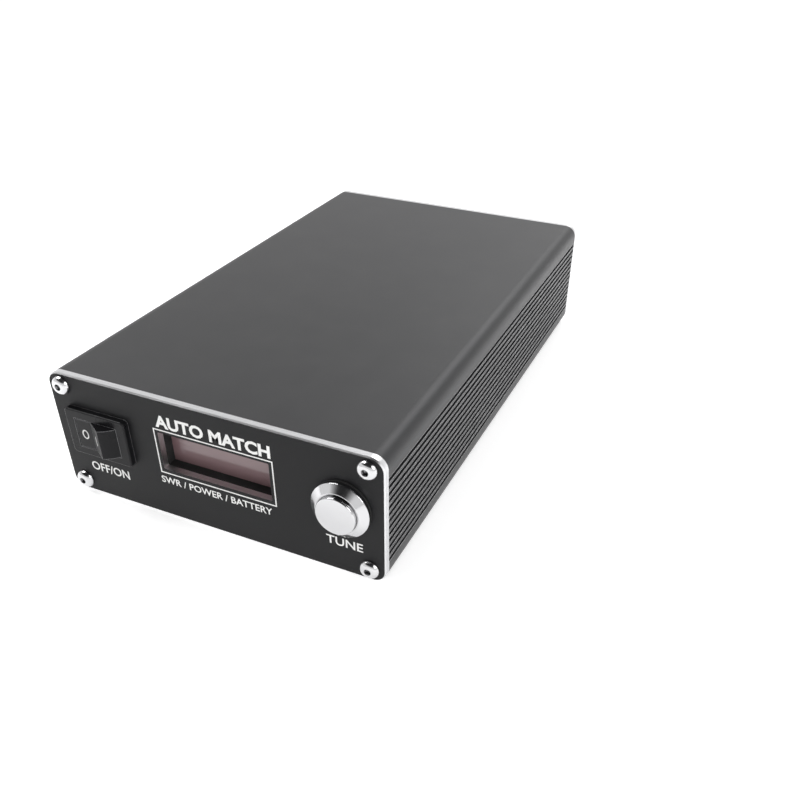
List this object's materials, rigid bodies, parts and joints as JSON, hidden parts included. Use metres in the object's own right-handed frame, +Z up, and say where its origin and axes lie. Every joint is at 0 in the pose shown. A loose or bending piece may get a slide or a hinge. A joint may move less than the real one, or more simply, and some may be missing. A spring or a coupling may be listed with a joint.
{
  "type": "antenna tuner",
  "caption": "Small automatic HF antenna tuner: finned black aluminium case, front panel with rocker power switch, display window and push button, coaxial sockets at the rear.",
  "frame": {"origin": "centre of the case's underside", "axes": "+Y from the front panel to the back, +Z up, +X to the right seen from the front"},
  "size_m": [0.105, 0.1926, 0.04],
  "materials": {
    "black_anodised": "fine satin black anodised aluminium",
    "panel_black": "black front with bright cut edges",
    "steel_screw": "bright zinc or stainless steel",
    "spring_steel": "drawn wire",
    "switch_plastic": "fine moulded nylon, black",
    "nickel": "polished nickel plate",
    "bright_metal": "polished button metal",
    "contact_brass": "tinned or plain brass",
    "gasket_rubber": "soft black rubber",
    "inner_plastic": "black moulded plastic",
    "board_green": "glass-epoxy board with solder mask",
    "display_glass": "dark display glass",
    "relay_plastic": "blue relay case",
    "ferrite": "coated iron-powder core",
    "grey_ferrite": "grey ferrite",
    "enamel_copper": "enamelled copper wire",
    "capacitor": "chip capacitor",
    "can_sleeve": "capacitor sleeve",
    "chip_black": "moulded chip case",
    "socket_white": "natural nylon or PTFE",
    "battery_foil": "pouch foil",
    "foam_grey": "black closed-cell foam",
    "light_clear": "clear moulded light pipe",
    "wire_red": "wire insulation"
  },
  "bodies": {
    "case": {"lower_shell": "black_anodised", "upper_shell": "black_anodised", "front_panel": "panel_black", "rear_panel": "panel_black", "front_panel_screws": "steel_screw", "rear_panel_screws": "steel_screw", "power_switch_housing": "switch_plastic", "power_switch_terminals": "contact_brass", "tune_button_housing": "bright_metal", "tune_button_gasket": "gasket_rubber", "tune_button_spring": "spring_steel", "tune_button_base": "inner_plastic", "tune_button_terminals": "contact_brass", "tune_button_washer": "steel_screw", "tune_button_nut": "nickel", "display_carrier": "inner_plastic", "display_foam": "foam_grey", "display_glass": "display_glass", "display_board": "board_green", "display_pins": "contact_brass", "main_board": "board_green", "inductor_relays": "relay_plastic", "capacitor_relays": "relay_plastic", "inductor_cores": "ferrite", "inductor_windings": "enamel_copper", "tuning_capacitors": "capacitor", "supply_capacitors": "can_sleeve", "controller_chip": "chip_black", "driver_chips": "chip_black", "chip_legs": "steel_screw", "voltage_regulator": "chip_black", "coupler_core": "grey_ferrite", "coupler_windings": "enamel_copper", "lead_sockets": "socket_white", "battery_foam_pad": "foam_grey", "battery_cell": "battery_foil", "battery_guard_board": "board_green", "charger_board": "board_green", "charger_spacers": "nickel", "charge_port_shell": "nickel", "charge_port_tongue": "inner_plastic", "charge_light_pipe": "light_clear", "radio_socket_body": "nickel", "antenna_socket_body": "nickel", "socket_insulators": "socket_white", "socket_contacts": "contact_brass", "rf_socket_screws": "steel_screw", "rf_socket_nuts": "steel_screw", "switch_leads": "wire_red", "button_leads": "wire_red", "display_leads": "wire_red", "battery_leads": "wire_red", "rf_leads": "enamel_copper"},
    "rocker": {"power_switch_rocker": "switch_plastic", "power_switch_plunger": "socket_white", "power_switch_spring": "spring_steel"},
    "contact_lever": {"power_switch_lever": "contact_brass"},
    "button": {"tune_button_cap": "bright_metal", "tune_button_bridge": "contact_brass"}
  },
  "joints": [
    {"name": "power_rocker", "type": "hinge", "parent": "case", "child": "rocker", "pos_m": [-0.0368, -0.0842, 0.0227], "axis": [0, 0, 1], "range_deg": [0, 32]},
    {"name": "contact_lever_tip", "type": "hinge", "parent": "case", "child": "contact_lever", "pos_m": [-0.0368, -0.07635, 0.0227], "axis": [0, 0, 1], "range_deg": [-16, 0]},
    {"name": "tune_press", "type": "slide", "parent": "case", "child": "button", "axis": [0, 1, 0], "range_m": [0, 0.0013], "stiffness_N_per_m": 800, "springref_m": -0.0025, "deforming": ["tune_button_spring"]}
  ],
  "couplings": [
    {"joint": "contact_lever_tip", "follows": "power_rocker", "ratio": -0.5}
  ]
}
